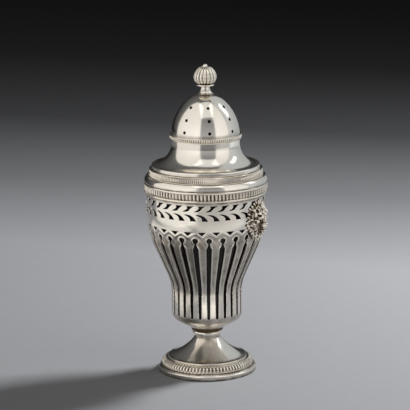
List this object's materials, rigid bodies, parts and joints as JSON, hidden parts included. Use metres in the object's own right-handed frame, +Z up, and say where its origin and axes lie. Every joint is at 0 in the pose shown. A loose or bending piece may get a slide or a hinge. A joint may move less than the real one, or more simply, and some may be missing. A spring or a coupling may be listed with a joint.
{
  "type": "sugar caster",
  "caption": "Vase-shaped pierced silver sugar caster on a round foot, with lion masks, a dark glass liner and a lift-off domed cover with sprinkling holes.",
  "frame": {"origin": "middle of the underside of the foot", "axes": "+Z up the axis of the vase, lion masks on +X and -X"},
  "size_m": [0.0898, 0.0768, 0.1939],
  "materials": {
    "polished_silver": "polished silver, lightly worn",
    "tarnished_silver": "silver with brown tarnish in the hollows",
    "dark_glass": "very dark moulded glass"
  },
  "bodies": {
    "caster_body": {"foot_rim": "polished_silver", "foot_gadroon_band": "tarnished_silver", "foot_wire": "polished_silver", "foot_trumpet": "polished_silver", "foot_collar": "polished_silver", "pierced_body": "polished_silver", "body_gadroon_band": "tarnished_silver", "body_rim": "polished_silver", "lion_mask_right": "tarnished_silver", "lion_mask_left": "tarnished_silver"},
    "liner": {"glass_liner": "dark_glass"},
    "cover": {"cover_bezel": "polished_silver", "cover_bead_band": "tarnished_silver", "cover_rim": "polished_silver", "cover_skirt": "polished_silver", "cover_mid_ring": "tarnished_silver", "cover_dome": "polished_silver", "finial_neck": "polished_silver", "finial_knob": "tarnished_silver", "finial_stud": "polished_silver", "finial_nut": "polished_silver"}
  },
  "joints": [
    {"name": "liner_lift", "type": "slide", "parent": "caster_body", "child": "liner", "axis": [0, 0, 1], "range_m": [0, 0.1]},
    {"name": "cover_lift", "type": "slide", "parent": "liner", "child": "cover", "axis": [0, 0, 1], "range_m": [0, 0.06]}
  ]
}
